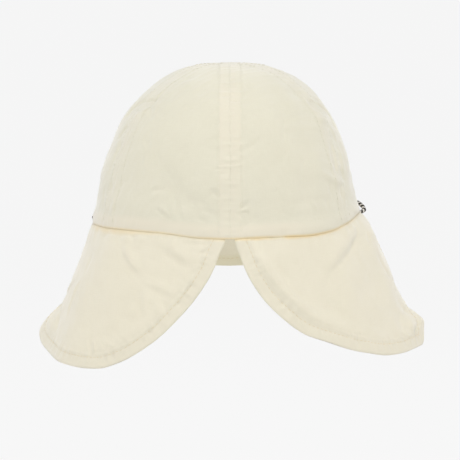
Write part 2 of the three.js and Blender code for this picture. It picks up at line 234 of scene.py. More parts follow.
# How the crown's cloth rolls over its edge: distance above the edge along the cloth, and bulge;
# and how far the cloth settles at the top, and between which heights
HEM_ROLL = table(
    "above bulge",
    (0, -0.5),
    (0.4, -0.1),
    (1, 0.25),
    (2, 0.45),
    (4, 0.5),
    (6, 0.28),
    (8, -0.1),
    (10.5, -0.3),
    (15, -0.1),
    (22, 0),
)
TOP_SETTLE = 0.45
TOP_SETTLE_HEIGHTS = (70, 90)

# The sewn joint under the crown's edge, round the opening: how strongly the painted warm shade in
# its crevice shows, how full the crown's edge rolls over it, how far below that edge the flap
# starts, how far down the flap the painted shade reaches, and how plainly the doubled band above the
# joint shows
CROWN_JOINT = table(
    "azimuth share fullness drop reach band",
    (-180, 0.4, 0.8, 0.6, 0.9, 1),
    (-90, 0.1, 0.5, 0.5, 1.5, 1),
    (-75, 0.4, 0.5, 0.42, 4, 1),
    (-60, 0.5, 0.5, 0.35, 4.2, 1),
    (-50, 0.55, 0.5, 0.34, 4, 1),
    (-40, 0.5, 0.5, 0.32, 2.6, 1),
    (-30, 0.45, 0.5, 0.31, 1.4, 1),
    (-18, 0.4, 0.5, 0.3, 0.9, 1),
    (-6, 0.6, 0.8, 0.55, 0.9, 1),
    (12, 0.7, 0.9, 0.6, 0.9, 1),
    (21, 0.4, 0.6, 0.4, 0.9, 1),
    (25, 1, 1.5, 0.62, 0.9, 0.9),
    (36, 1, 1.4, 0.62, 0.9, 0.4),
    (52, 0.8, 1, 0.6, 0.9, 0.1),
    (65, 0.6, 0.8, 0.5, 0.9, 0.3),
    (90, 0.3, 0.8, 0.5, 0.9, 1),
    (180, 0.4, 0.8, 0.6, 0.9, 1),
)

# Neck flaps: how they hang, how their front corners curl out, and how far they are set in
FLAP_HANG = table(
    "azimuth flare shoulder",
    (-110, 16, 0.9),
    (-92, 18.9, 0.6),
    (-75, 21.4, 0.4),
    (-55, 23, 1.2),
    (-30, 22, 0.8),
    (0, 20, 0.6),
    (30, 22, 0.8),
    (60, 24, 1.8),
    (78, 23.9, 4.6),
    (92, 20.1, 4.7),
    (110, 19, 3),
)
SHOULDER_REACH = 5.0
CURL_POWER = 2.2
CORNER_CURLS = table(
    "side azimuth azimuth_span depth depth_span reach",
    (-1, 58, 31, 45, 23, 10.9),
    (1, 58, 25.5, 57, 10, 8.5),
)
FLAP_INSET = 0.45
TUCK_INSET = 1.6

FLAP_LEFT_OUTLINE = table(
    "azimuth depth corner",
    (2, -TUCK, "split"),
    (2, 0, ""),
    (4, 7.5, ""),
    (6, 16.5, ""),
    (10, 28.3, ""),
    (16, 42.8, ""),
    (24, 60, ""),
    (33, 72.4, "low"),
    (40, 77.6, ""),
    (48, 78.9, ""),
    (56, 78.5, ""),
    (64, 76.8, ""),
    (72, 74.7, ""),
    (79, 71.9, ""),
    (86, 65, "front"),
    (88.5, 59, ""),
    (93, 44, ""),
    (98.5, 18, ""),
    (104, 0, ""),
    (104, -TUCK, "end"),
)
FLAP_RIGHT_OUTLINE = table(
    "azimuth depth corner",
    (2, -TUCK, "split"),
    (2, 0, ""),
    (4, 9.3, ""),
    (6, 17.8, ""),
    (10, 29.3, ""),
    (16, 42, ""),
    (24, 53.4, ""),
    (33, 59.9, "low"),
    (44, 67.8, ""),
    (56, 74.9, ""),
    (64, 77.5, ""),
    (74, 78.1, ""),
    (81.5, 65, "front"),
    (88, 55, ""),
    (92.7, 37.5, ""),
    (98.5, 18, ""),
    (104, 0, ""),
    (104, -TUCK, "end"),
)

# The soft ridge that runs beside each flap's hem, and the dip between it and the hem's stitches, as
# a share of the ridge
RIDGE_FROM_EDGE = 11.2
RIDGE_WIDTH = 3.6
DIP_FROM_STITCH = 1
DIP_WIDTH = 1.8
DIP_SHARE = 0.35
HEM_RIDGE_LEFT = table("azimuth height", (0, 0.2), (15, 0.5), (30, 0.6), (45, 0.35), (104, 0.2))
HEM_RIDGE_RIGHT = table(
    "azimuth height",
    (0, 0.2),
    (6, 0.9),
    (12, 1.4),
    (20, 1.6),
    (30, 1.3),
    (40, 0.9),
    (52, 0.5),
    (104, 0.2),
)

# Folds and creases: each a ridge, or a hollow where its height is negative, between two places.
# Those that the photograph shows are told by where they show in it, in its pixels from the upper
# left; those that it hides are told by azimuth, and height above the crown's edge.
# Widths and heights are in millimetres.
SEEN_COLUMNS = "x y to_x to_y width height"
FLAP_FOLDS = table(
    SEEN_COLUMNS,
    # left flap: the ridge by the split, with a crisp hollow under it
    (168, 245, 189, 259, 3.4, 1.3),
    (164, 254, 176, 260, 2.2, -0.6),
    (176, 260, 187, 266, 2.2, -0.6),
    (184, 243, 208, 243, 1.4, -0.6),
    # the cloth that is pushed in under the seam
    (99, 229, 122, 233, 1.9, -0.9),
    (122, 233, 147, 236, 1.7, -0.8),
    (101, 232, 121, 237, 3.6, -0.6),
    # the long fold that falls from the seam and doubles back
    (126, 250, 137, 268, 2.4, 1.1),
    (121, 249, 133, 272, 2.4, -0.6),
    (133, 272, 141, 283, 2.4, -0.6),
    (148, 282, 174, 291, 2.8, 0.8),
    (147, 288, 170, 298, 2, -0.5),
    (139, 293, 141, 313, 1.5, -0.8),
    (144, 296, 146, 312, 2, 0.4),
    (155, 300, 163, 316, 2.4, 0.5),
    (162, 298, 168, 310, 1.3, -0.6),
    # gathers beside the hem by the split
    (200, 255, 208, 249, 1, -0.6),
    (203, 264, 211, 256, 1, -0.5),
    (196, 273, 204, 266, 1.1, -0.6),
    (191, 275, 196, 270, 1, -0.4),
    (186, 292, 192, 284, 1.1, -0.6),
    (180, 297, 185, 290, 1, 0.4),
    (176, 308, 181, 301, 1, -0.5),
    (160, 324, 165, 317, 1.1, -0.5),
    (150, 333, 156, 327, 1.2, -0.7),
    # gathers along the lowest edge
    (104, 340, 113, 347, 1.4, 0.6),
    (108, 338, 118, 344, 1.4, -0.5),
    (99, 341, 104, 350, 1.4, 0.5),
    (90, 342, 92, 354, 1.2, -0.5),
    (94, 343, 96, 356, 1.3, 0.5),
    (120, 338, 128, 346, 1.6, -0.4),
    # scallops under the seam on the left
    (107, 237, 116, 239, 1.5, 0.7),
    (123, 239, 132, 238, 1.5, 0.7),
    (136, 238, 146, 238, 1.5, 0.6),
    (119, 235, 121, 242, 1.2, -0.5),
    (133, 235, 134, 241, 1.1, -0.5),
    # the front hem along the left side
    (80, 283, 73, 299, 1.6, 0.9),
    (73, 299, 68, 313, 1.6, 0.9),
    (75, 283, 67, 299, 1.6, -0.9),
    (67, 299, 60, 312, 1.6, -0.9),
    (60, 312, 57, 328, 1.6, -0.9),
    (92, 255, 87, 270, 1.6, -0.5),
    (52, 316, 53, 330, 2.6, 0.9),
    (43, 333, 51, 342, 2.2, -0.5),
    (51, 342, 61, 350, 2.2, -0.4),
    # right flap: soft ridges beyond the hem by the split
    (255, 256, 269, 272, 3, 0.7),
    (269, 272, 281, 287, 3, 0.7),
    (281, 287, 295, 301, 3, 0.7),
    (295, 301, 311, 315, 3, 0.7),
    # the fold under the right temple
    (352, 231, 341, 247, 4.2, 1.3),
    (341, 247, 328, 266, 4.2, 1.3),
    (357, 236, 345, 257, 2.2, -1),
    (345, 257, 333, 271, 2.2, -1),
    (331, 272, 327, 290, 1.8, -0.4),
    (359, 252, 362, 264, 2.2, 0.4),
    (336, 226, 322, 240, 4, 0.6),
    (367, 234, 369, 243, 1.4, -0.7),
    # right side and curled corner
    (377, 256, 388, 275, 1.6, -0.6),
    (388, 275, 393, 290, 1.6, -0.6),
    (408, 317, 410, 334, 2.6, 1),
    (402, 306, 412, 314, 2, -0.7),
    (415.5, 315, 415.5, 332, 1.3, -1),
    (399, 315, 400, 334, 2.4, -0.5),
    # broad soft swells
    (105, 256, 120, 335, 9, 1),
    (343, 282, 345, 330, 9, 0.9),
)
CROWN_FOLDS = table(
    SEEN_COLUMNS,
    # left shoulder: two hollows in line, and a dent low beside the seam
    (130, 112, 141, 105, 2.6, -2.9),
    (141, 106, 152, 102, 1.9, -2.4),
    (150, 104, 151, 117, 1.8, -0.8),
    (138, 114, 148, 110, 2.4, 1),
    (120, 135, 126, 128, 1.8, -1.7),
    (111, 168, 118, 150, 2.2, -0.7),
    (118, 150, 121, 140, 2.2, -0.7),
    # left side: small upright creases
    (146, 140, 149, 147, 1.2, -0.6),
    (153, 133, 154, 143, 1.3, 0.4),
    (145, 152, 145, 168, 1.6, 0.5),
    (158, 153, 160, 165, 1.6, -0.35),
    (151, 190, 163, 188, 1.3, -0.6),
    (152, 195, 160, 193, 1.4, 0.35),
    # the long soft diagonal from the left side down to the centre back
    (160, 166, 178, 194, 4.5, -0.7),
    (178, 194, 203, 212, 4.5, -0.7),
    (172, 163, 192, 192, 5, 0.6),
    # low on the left
    (160, 206, 170, 214, 1.7, 0.9),
    (158, 209, 168, 218, 1, -0.5),
    (176, 199, 181, 217, 1.2, -0.8),
    (172, 203, 174, 214, 1.4, 0.5),
    (200, 202, 206, 207, 1.3, -0.5),
    (204, 211, 214, 214, 1.3, -0.5),
    (200, 220, 207, 222, 1.3, -0.5),
    (209, 190, 217, 196, 1.3, -0.6),
    (104, 206, 105, 190, 1.2, -0.5),
    (112, 178, 112, 191, 1.2, -0.5),
    (119, 187, 125, 183, 1.3, -0.5),
    (115, 198, 112, 214, 1.4, 0.5),
    # right shoulder: a sharp hollow that turns down at the edge
    (311, 104, 321, 108, 2.2, -3.4),
    (321, 107, 330, 115, 1.9, -2.2),
    (330, 115, 335, 126, 1.8, -1.5),
    (311, 101, 319, 100, 1.4, -0.5),
    (317, 119, 327, 121, 2.4, 1.2),
    (331, 128, 337, 140, 1.8, 0.8),
    (292, 94, 299, 91, 1.6, -0.5),
    (295, 86, 302, 83, 1.4, -0.4),
    # right side
    (285, 124, 284, 144, 1.7, -0.6),
    (256, 142, 261, 138, 1.2, -0.5),
    (248, 149, 256, 145, 1.4, -0.4),
    (286, 152, 281, 160, 1.4, -0.4),
    (301, 167, 305, 160, 1.3, -0.4),
    # the upright hollow and the bowed fold low on the right
    (332, 146, 335, 168, 2.6, -1.7),
    (340, 150, 343, 168, 1.8, 0.9),
    (341, 168, 344, 178, 1.4, -0.7),
    (322, 174, 335, 181, 2.2, 1.1),
    (335, 181, 342, 182, 2.2, 1.1),
    (329, 185, 333, 197, 1.6, -0.5),
    (340, 186, 342, 197, 1.3, -0.6),
    (344, 184, 346, 206, 1.2, 0.5),
    (313, 201, 317, 207, 1, 0.5),
    (328, 198, 328, 208, 1.2, -0.4),
    # puckers beside the centre back seam
    (241, 207, 247, 203, 1.1, -0.7),
    (240, 214, 247, 213, 1, -0.8),
    (241, 210, 248, 208, 1, 0.4),
    (246, 225, 257, 216, 1.6, -0.6),
    (281, 214, 285, 212, 1.2, -0.4),
    (275, 190, 279, 187, 1.2, 0.4),
    # wrinkles across the centre back band
    (220, 163, 240, 163, 0.8, -0.6),
    (217, 168.5, 241, 168, 0.8, -0.9),
    (217, 173, 241, 172, 0.8, -0.7),
    (222, 154, 238, 155, 0.8, -0.5),
    (221, 96.5, 228, 96, 0.8, -0.6),
    (231, 101, 240, 101, 0.8, -0.6),
    (222, 194, 238, 193, 0.7, -0.3),
    (222, 201, 238, 200, 0.7, -0.3),
    # the top
    (250, 66, 278, 70, 1.3, -0.6),
    (185, 78, 196, 75, 1.8, -0.5),
    (194, 93, 206, 90, 2.2, -0.4),
    (154, 89, 161, 83, 1.8, -0.5),
)
HIDDEN_FOLDS = table(
    "azimuth depth to_azimuth to_depth width height",
    (118, 30, 150, 16, 5, -1),
    (122, 35, 150, 22, 5, 0.7),
    (-150, 40, -125, 18, 5, -1),
    (-146, 44, -120, 24, 5, 0.7),
    (100, 52, 118, 40, 3, -0.7),
    (103, 56, 120, 46, 3.5, 0.5),
    (-112, 56, -94, 42, 3, -0.7),
    (-116, 50, -98, 38, 3.5, 0.5),
    (160, 60, 176, 48, 3, -0.5),
    (-172, 26, -158, 34, 3, -0.5),
    (96, 22, 112, 14, 2.6, -0.6),
    (-104, 20, -90, 12, 2.6, -0.6),
)
FOLD_BEND = 0.4
WANDER_WAVES = 7

# Peak
PEAK_HALF_SPAN = 74.0
PEAK_DROOP = 40.0
PEAK_BEND = 0.32
PEAK_SEWN_DROP = 1.25
PEAK_OUTLINE = table(
    "from_front depth",
    (0, 55),
    (20, 53),
    (38, 46),
    (52, 35),
    (63, 22),
    (70, 11),
    (PEAK_HALF_SPAN, 2),
)

# Front cord: how it is laid, and its route, with heights above the crown's edge and how far it
# stands off the crown's surface
CORD_RADIUS = 1.2
CORD_LAY = 2.7
CORD_STEP = 0.24
CORD_SIDES = 16
CORD_DARK_SIDES = 9
CORD_LOBE = 0.14
CORD_ROUTE = table(
    "azimuth height stand_off",
    (93, -1.5, -1.2),
    (93.8, -0.6, 0.2),
    (94.6, 0.1, 1.7),
    (95.6, 1.2, 2.4),
    (96.6, 2.7, 2.2),
    (98, 4.2, 1.6),
    (99.8, 5.6, 0.9),
    (102, 6.5, 0.1),
    (105, 6.6, 0),
    (120, 6, 0),
    (180, 6, 0),
    (240, 5.5, 0),
    (255, 2.8, 0),
    (260.5, 0.6, 0.2),
    (263.5, -1.2, -1.4),
)


def smooth_column(rows, key, column):
    """A smooth curve through a table's rows that never overshoots them, as a function."""
    x = np.array([row[key] for row in rows], float)
    y = np.array([row[column] for row in rows], float)
    span = np.diff(x)
    rise = np.diff(y) / span
    slope = np.concatenate([rise[:1], np.zeros(len(x) - 2), rise[-1:]])
    for i in range(1, len(x) - 1):
        if rise[i - 1] * rise[i] > 0:
            early = 2 * span[i] + span[i - 1]
            late = span[i] + 2 * span[i - 1]
            slope[i] = (early + late) / (early / rise[i - 1] + late / rise[i])

    def curve(at):
        i = np.clip(np.searchsorted(x, at, side="right") - 1, 0, len(x) - 2)
        t = np.clip((at - x[i]) / span[i], 0, 1)
        s = 1 - t
        value = y[i] * (1 + 2 * t) * s * s + slope[i] * span[i] * t * s * s
        return value + y[i + 1] * t * t * (3 - 2 * t) - slope[i + 1] * span[i] * t * t * s

    return curve


def smooth_columns(rows, key):
    """Smooth curves through all of a table's other columns, in their order."""
    return [smooth_column(rows, key, column) for column in rows[0] if column != key]


section_height, section_width, section_lean = smooth_columns(CROWN_SECTIONS, "rise")
section_at = smooth_column(CROWN_SECTIONS, "height", "rise")
edge_lift = smooth_column(EDGE_WAVE, "azimuth", "lift")
hem_roll = smooth_column(HEM_ROLL, "above", "bulge")
seam_show = smooth_column(SEAM_SHOW, "height", "share")
joint_shade_share, edge_fullness, sewn_drop, joint_shade_reach, band_show = smooth_columns(CROWN_JOINT, "azimuth")
flap_flare, flap_shoulder = smooth_columns(FLAP_HANG, "azimuth")
peak_depth = smooth_column(PEAK_OUTLINE, "from_front", "depth")


def wrap(azimuth):
    """The same azimuth between -180 and 180 degrees."""
    return azimuth - 360 * np.round(azimuth / 360)


def smooth_step(low, high, value):
    """0 at low and 1 at high, smooth between them; high may lie below low."""
    t = np.clip((value - low) / (high - low), 0, 1)
    return t * t * (3 - 2 * t)


def bell(distance, width):
    """1 at no distance, fading out over about twice the width."""
    return np.exp(-((distance / width) ** 2))


def unit(vectors):
    """The same directions, one long."""
    return vectors / np.maximum(np.linalg.norm(vectors, axis=-1, keepdims=True), 1e-9)


def path_travel(points):
    """How far along a path each of its points lies."""
    steps = np.linalg.norm(np.diff(points, axis=0), axis=1)
    return np.concatenate([[0], np.cumsum(steps)])


def on_path(at, travelled, values):
    """A path's points or directions at distances along it."""
    return np.stack([np.interp(at, travelled, values[:, k]) for k in range(3)], -1)


def outward(azimuth):
    """The level outward direction at an azimuth of the oval opening."""
    a = np.radians(azimuth)
    across = EDGE_HALF_DEPTH * np.sin(a)
    along = -EDGE_HALF_WIDTH * np.cos(a)
    return unit(np.stack([across, along, np.zeros_like(a)], -1))


def wander(x, y, length, seed):
    """A smooth, seeded unevenness of about 1 high, with bumps about length apart."""
    random = np.random.default_rng(seed)
    total = np.zeros(np.broadcast(x, y).shape)
    for _ in range(WANDER_WAVES):
        heading, phase = random.uniform(0, TURN, 2)
        pitch = length * random.uniform(0.7, 1.6)
        across = np.cos(heading) * x + np.sin(heading) * y
        total += np.sin(TURN * across / pitch + phase)
    return total / math.sqrt(WANDER_WAVES)


def ripple(along, pitch, seed):
    """A wave along a seam whose spacing drifts, as sewn cloth puckers."""
    random = np.random.default_rng(seed)
    phase, drift_phase = random.uniform(0, TURN, 2)
    drift = 1.6 * np.sin(TURN * along / (4.3 * pitch) + drift_phase)
    swell = 0.65 + 0.35 * np.sin(TURN * along / (6.1 * pitch) + phase)
    return np.sin(TURN * along / pitch + drift + phase) * swell


def uneven(x, y, kind, seed=0):
    """The unevenness of one kind of cloth at places of its pattern."""
    row = UNEVENNESS[kind]
    return row["height"] * wander(x, y, row["length"], row["seed"] + seed)


def puckered(along, away, kind, seed=0, power=2):
    """The puckers of one kind, by the distance along their line and away from it."""
    row = PUCKERS[kind]
    fade = np.exp(-(np.abs(away / row["reach"]) ** power))
    return row["height"] * fade * ripple(along, row["pitch"], row["seed"] + seed)


def gathers(across, depth, kind, seed=0):
    """Gathers of cloth that hangs from a seam, fading out below it."""
    row = PUCKERS[kind]
    below = np.maximum(depth, 0)
    fade = np.exp(-below / row["reach"]) * (1 - np.exp(-below / GATHER_START))
    return row["height"] * fade * (0.4 + 0.6 * ripple(across, row["pitch"], row["seed"] + seed))


def hemmed_half(plain, hem, away, fade=HEM_FADE):
    """Half a wall's thickness by the distance from its hemmed and rounded edge."""
    half = plain + (hem - plain) * smooth_step(HEM_WIDTH + fade, HEM_WIDTH - HEM_FADE, away)
    edge = np.clip(1 - away / HEM_ROUND, 0, 1)
    return half * np.sqrt(np.maximum(1 - edge**2, 0.01))


def hem_share(away):
    """How much of the hem's colour shows, by the distance from its edge."""
    return smooth_step(HEM_WIDTH + 0.5, HEM_WIDTH - 0.5, away)


def fold_relief(folds, azimuth, depth, per_degree):
    """How high a set of folds stands at places of the pattern. The folds bend and fade out."""
    relief = np.zeros(np.broadcast(azimuth, depth).shape)
    bend_x = FOLD_BEND * np.sin(depth / 4.7 + azimuth / 13)
    bend_y = FOLD_BEND * np.sin(azimuth / 5.3 + depth / 17)
    for fold in folds:
        along_x = (fold["to_azimuth"] - fold["azimuth"]) * per_degree
        along_y = fold["to_depth"] - fold["depth"]
        here_x = (azimuth - fold["azimuth"]) * per_degree + bend_x
        here_y = depth - fold["depth"] + bend_y
        t = (here_x * along_x + here_y * along_y) / (along_x**2 + along_y**2)
        t = np.clip(t, 0, 1)
        away = np.hypot(here_x - t * along_x, here_y - t * along_y) / fold["width"]
        relief += fold["height"] * (0.5 + 0.5 * np.sin(math.pi * t)) * bell(away, 1)
    return relief


def crown_base(azimuth, rise):
    """The crown's smooth outer surface, rise running from 0 at the edge to 1 at the top."""
    height = section_height(rise * LAST_SECTION)
    width = section_width(rise * LAST_SECTION)
    a = np.radians(azimuth)
    fade = 1 - height / CROWN_HEIGHT
    x = width * np.sin(a) - section_lean(rise * LAST_SECTION) * np.sin(a) ** 2
    y = -width * EDGE_HALF_DEPTH * np.cos(a) / EDGE_HALF_WIDTH
    z = height + edge_lift(wrap(azimuth)) * fade * fade
    return np.stack(np.broadcast_arrays(x, y, z), -1)


def in_photo(points):
    """Where places on the hat show in the photograph, in its pixels from the upper left."""
    level, rise = math.cos(CAMERA_ELEVATION), math.sin(CAMERA_ELEVATION)
    x, y = points[..., 0], points[..., 1]
    z = points[..., 2] - CAMERA_TARGET_Z / METRES
    away = CAMERA_DISTANCE / METRES + y * level - z * rise
    scale = CAMERA_DISTANCE / METRES_PER_PIXEL / away
    return PHOTO_SIDE / 2 + x * scale, PHOTO_SIDE / 2 - (y * rise + z * level) * scale


def seen_folds(folds, points, azimuth, depth):
    """Folds told by pixels, as folds on the pattern, from a grid of the surface's places."""
    across, down = in_photo(points)

    def pattern_place(x, y):
        nearest = np.hypot(across - x, down - y).argmin()
        return azimuth.flat[nearest], depth.flat[nearest]

    placed = []
    for fold in folds:
        start = pattern_place(fold["x"], fold["y"])
        end = pattern_place(fold["to_x"], fold["to_y"])
        ends = {"azimuth": start[0], "depth": start[1], "to_azimuth": end[0], "to_depth": end[1]}
        placed.append({**ends, "width": fold["width"], "height": fold["height"]})
    return placed


def normals_of(surface, a, b, step_a=0.05, step_b=0.05):
    """Unit normals of a surface given by two pattern coordinates."""
    across_a = surface(a + step_a, b) - surface(a - step_a, b)
    across_b = surface(a, b + step_b) - surface(a, b - step_b)
    return unit(np.cross(across_a, across_b))


def profile_lengths():
    """Rises, and the distance along the cloth from the crown's edge to each, at the back."""
    rises = np.linspace(0, 1, 600)
    return rises, path_travel(crown_base(np.zeros_like(rises), rises))


PROFILE_RISES, PROFILE_LENGTHS = profile_lengths()
PROFILE_LENGTH = PROFILE_LENGTHS[-1]


def crown_per_radian(azimuth, rise):
    """The length of a radian of azimuth on the crown, in millimetres."""
    width = section_width(rise * LAST_SECTION)
    depth = width * EDGE_HALF_DEPTH / EDGE_HALF_WIDTH
    a = np.radians(azimuth)
    return np.maximum(np.hypot(width * np.cos(a), depth * np.sin(a)), 0.02)


def crown_folds():
    """The crown's folds on its pattern, the seen ones found on the side that faces the camera."""
    azimuth, rise = np.meshgrid(np.linspace(-92, 92, 369), np.linspace(0, 0.98, 300))
    height = section_height(rise * LAST_SECTION)
    return seen_folds(CROWN_FOLDS, crown_base(azimuth, rise), azimuth, height) + HIDDEN_FOLDS


PLACED_CROWN_FOLDS = crown_folds()


def crown_relief(azimuth, rise):
    """Seams, rolled edge, creases and unevenness of the crown, along its normal."""
    height = section_height(rise * LAST_SECTION)
    above = np.interp(rise, PROFILE_RISES, PROFILE_LENGTHS)
    per_radian = crown_per_radian(azimuth, rise)
    settle = smooth_step(0, CROWN_HEM, height)
    to_top = PROFILE_LENGTH - above
    near_top = smooth_step(*UNEVEN_TO_TOP, to_top)
    relief = settle * fold_relief(PLACED_CROWN_FOLDS, wrap(azimuth), height, np.radians(per_radian))
    x, y, z = np.moveaxis(crown_base(azimuth, rise), -1, 0)
    relief += settle * near_top * uneven(x + y, z, "crown_broad")
    relief += near_top * uneven(x - y, z, "crown_fine")
    relief += hem_roll(above) * edge_fullness(wrap(azimuth))
    band = np.zeros_like(relief)
    for index, seam in enumerate(SEAM_AZIMUTHS):
        crisp = BACK_SEAM_CRISP if seam % 180 == 0 else SIDE_SEAM_CRISP
        away = np.radians(np.abs(wrap(azimuth - seam))) * per_radian
        raised = smooth_step(SEAM_BAND + 0.7, SEAM_BAND - 0.6, away)
        band = np.maximum(band, SEAM_RISE * crisp * raised)
        for groove in SEAM_GROOVES:
            hollow = bell(away - groove["from_seam"], groove["width"])
            relief -= groove["depth"] * crisp * hollow
        edge_puckers = puckered(above, away - SEAM_BAND, "band_edge", index)
        relief += crisp * smooth_step(*BAND_EDGE_TO_TOP, to_top) * edge_puckers
        band_puckers = puckered(above, away, "band", index, power=4)
        relief += crisp * smooth_step(*BAND_TO_TOP, to_top) * band_puckers
    return relief + band - TOP_SETTLE * smooth_step(*TOP_SETTLE_HEIGHTS, height)


def crown_surface(azimuth, rise):
    """The crown's outer face with all its relief, and its smooth normals."""
    azimuth, rise = np.broadcast_arrays(np.asarray(azimuth, float), np.asarray(rise, float))
    normal = normals_of(crown_base, azimuth, np.clip(rise, 0.0002, 0.9998), 0.05, 0.0001)
    return crown_base(azimuth, rise) + normal * crown_relief(azimuth, rise)[..., None], normal


def corner_curl(azimuth, depth):
    """How far the flaps' front lower corners stand out."""
    total = np.zeros(np.broadcast(azimuth, depth).shape)
    for curl in CORNER_CURLS:
        past = (azimuth * curl["side"] - curl["azimuth"]) / curl["azimuth_span"]
        round_corner = np.maximum(0, past) ** CURL_POWER
        lower = smooth_step(curl["depth"], curl["depth"] + curl["depth_span"], depth)
        total += curl["reach"] * round_corner * lower
    return total


def flap_base(azimuth, depth):
    """A flap's smooth middle surface, by azimuth and depth below the seam along the cloth."""
    below = np.maximum(depth, 0)
    flare = np.radians(flap_flare(azimuth))
    curl = corner_curl(azimuth, depth)
    shoulder = flap_shoulder(azimuth) * (1 - np.exp(-below / SHOULDER_REACH))
    inset = FLAP_INSET + (TUCK_INSET - FLAP_INSET) * smooth_step(0.4, -0.6, depth)
    point = crown_base(azimuth, np.zeros_like(azimuth))
    point = point + outward(azimuth) * (below * np.sin(flare) + curl + shoulder - inset)[..., None]
    point[..., 2] -= np.where(depth > 0, depth * np.cos(flare), depth) + sewn_drop(azimuth)
    return point


def flap_per_degree(azimuth, depth):
    """The length of a degree of azimuth on a flap, in millimetres."""
    flare = np.radians(flap_flare(azimuth))
    return np.radians(EDGE_HALF_WIDTH + np.maximum(depth, 0) * np.sin(flare))


class FlapShape:
    """One neck flap: its hemmed outline and its relief."""

    def __init__(self, outline, side, seed, ridge):
        self.side = side
        self.seed = seed
        self.ridge = smooth_column(ridge, "azimuth", "height")
        azimuth = np.array([row["azimuth"] * side for row in outline], float)
        depth = np.array([row["depth"] for row in outline], float)
        travelled = path_travel(flap_base(azimuth, depth))
        rows = table("travelled azimuth depth", *zip(travelled, azimuth, depth))
        self.azimuth_at, self.depth_at = smooth_columns(rows, "travelled")
        self.corners = {row["corner"]: t for row, t in zip(outline, travelled) if row["corner"]}
        self.length = travelled[-1]
        self.hem_travel = np.linspace(0, self.length, 900)
        self.hem_points = flap_base(*self.place(self.hem_travel))
        self.folds = self.flap_folds()

    def flap_folds(self):
        """The folds on this flap's side of the photograph, on its pattern."""
        azimuth, depth = np.meshgrid(np.linspace(0, 95, 381) * self.side, np.linspace(0, 82, 330))
        folds = [fold for fold in FLAP_FOLDS if (fold["x"] - PHOTO_SIDE / 2) * self.side > 0]
        return seen_folds(folds, flap_base(azimuth, depth), azimuth, depth)

    def place(self, travel):
        """Pattern coordinates at distances along the outline."""
        return self.azimuth_at(travel), self.depth_at(travel)

    def edge(self, start, end, t):
        """Pattern coordinates along the outline between two of its corners."""
        travel = self.corners[start] + (self.corners[end] - self.corners[start]) * t
        return np.stack(self.place(travel), -1)

    def patch(self, u, v):
        """The pattern coordinates of a place in the flap's four-sided patch."""
        inner = self.edge("split", "low", v)
        lower = self.edge("low", "front", u)
        front = self.edge("end", "front", v)
        split = self.edge("split", "low", 0)
        end = self.edge("end", "front", 0)
        low = self.edge("low", "front", 0)
        corner = self.edge("low", "front", 1)
        u, v = u[..., None], v[..., None]
        seam = split + (end - split) * u
        blend = (1 - v) * seam + v * lower + (1 - u) * inner + u * front
        twice = (1 - u) * (1 - v) * split + u * (1 - v) * end + (1 - u) * v * low + u * v * corner
        return blend - twice

    def hem(self, points):
        """Distance to the hemmed edge, and how far along it, for many points."""
        flat = points.reshape(-1, 3)
        distance, travel = np.empty((2, len(flat)))
        for start in range(0, len(flat), 4000):
            part = slice(start, start + 4000)
            away = np.linalg.norm(flat[part, None] - self.hem_points[None], axis=2)
            distance[part] = away.min(1)
            travel[part] = self.hem_travel[away.argmin(1)]
        return distance.reshape(points.shape[:-1]), travel.reshape(points.shape[:-1])

    def relief(self, azimuth, depth, away, travel):
        """Folds, unevenness, the ridge beside the hem, its puckers and the seam's gathers."""
        per_degree = flap_per_degree(azimuth, depth)
        settle = smooth_step(0, CROWN_HEM, depth)
        inside = smooth_step(0, 10, away)
        across = azimuth * per_degree
        relief = smooth_step(0.4, 3.5, depth) * fold_relief(self.folds, azimuth, depth, per_degree)
        relief *= (0.6 + 0.4 * inside)
        relief += settle * uneven(across, depth, "flap_broad", self.seed)
        relief += settle * inside * uneven(across, depth, "flap_fine", self.seed)
        ridge = settle * self.ridge(np.abs(azimuth))
        relief += ridge * bell(away - RIDGE_FROM_EDGE, RIDGE_WIDTH)
        relief -= DIP_SHARE * ridge * bell(away - HEM_STITCH - DIP_FROM_STITCH, DIP_WIDTH)
        plainer = 1 - HEM_PLAINER_SHARE * smooth_step(*HEM_PLAINER, np.abs(azimuth))
        for kind in ("flap_hem_long", "flap_hem_short"):
            puckers = puckered(travel, away - HEM_STITCH, kind, self.seed)
            relief += settle * plainer * puckers
        return relief + gathers(across, depth, "flap_gathers", self.seed)

    def surface(self, azimuth, depth):
        """The flap's outer and inner faces and normals at pattern coordinates."""
        base = flap_base(azimuth, depth)
        normal = normals_of(flap_base, azimuth, depth)
        normal = normal * np.where((normal * outward(azimuth)).sum(-1) < 0, -1, 1)[..., None]
        away, travel = self.hem(base)
        middle = base + normal * self.relief(azimuth, depth, away, travel)[..., None]
        beat = 0.6 + 0.4 * np.cos(TURN * travel / STITCH_PITCH)
        groove = FLAP_GROOVE * beat * bell(away - HEM_STITCH, FLAP_GROOVE_WIDTH)
        thick = normal * (hemmed_half(FLAP_HALF, HEM_HALF, away) - groove)[..., None]
        return middle + thick, middle - thick, normal, away

    def stitch_line(self):
        """Pattern coordinates along the hem's stitch line, evenly spaced."""
        travel = np.linspace(TUCK + 2, self.length - TUCK - 2, 500)
        azimuth, depth = self.place(travel)
        per_degree = flap_per_degree(azimuth, depth)
        heading = unit(np.stack([np.gradient(azimuth) * per_degree, np.gradient(depth)], -1))
        inward = np.stack([-heading[:, 1], heading[:, 0]], -1) * -self.side
        return azimuth + inward[:, 0] * HEM_STITCH / per_degree, depth + inward[:, 1] * HEM_STITCH


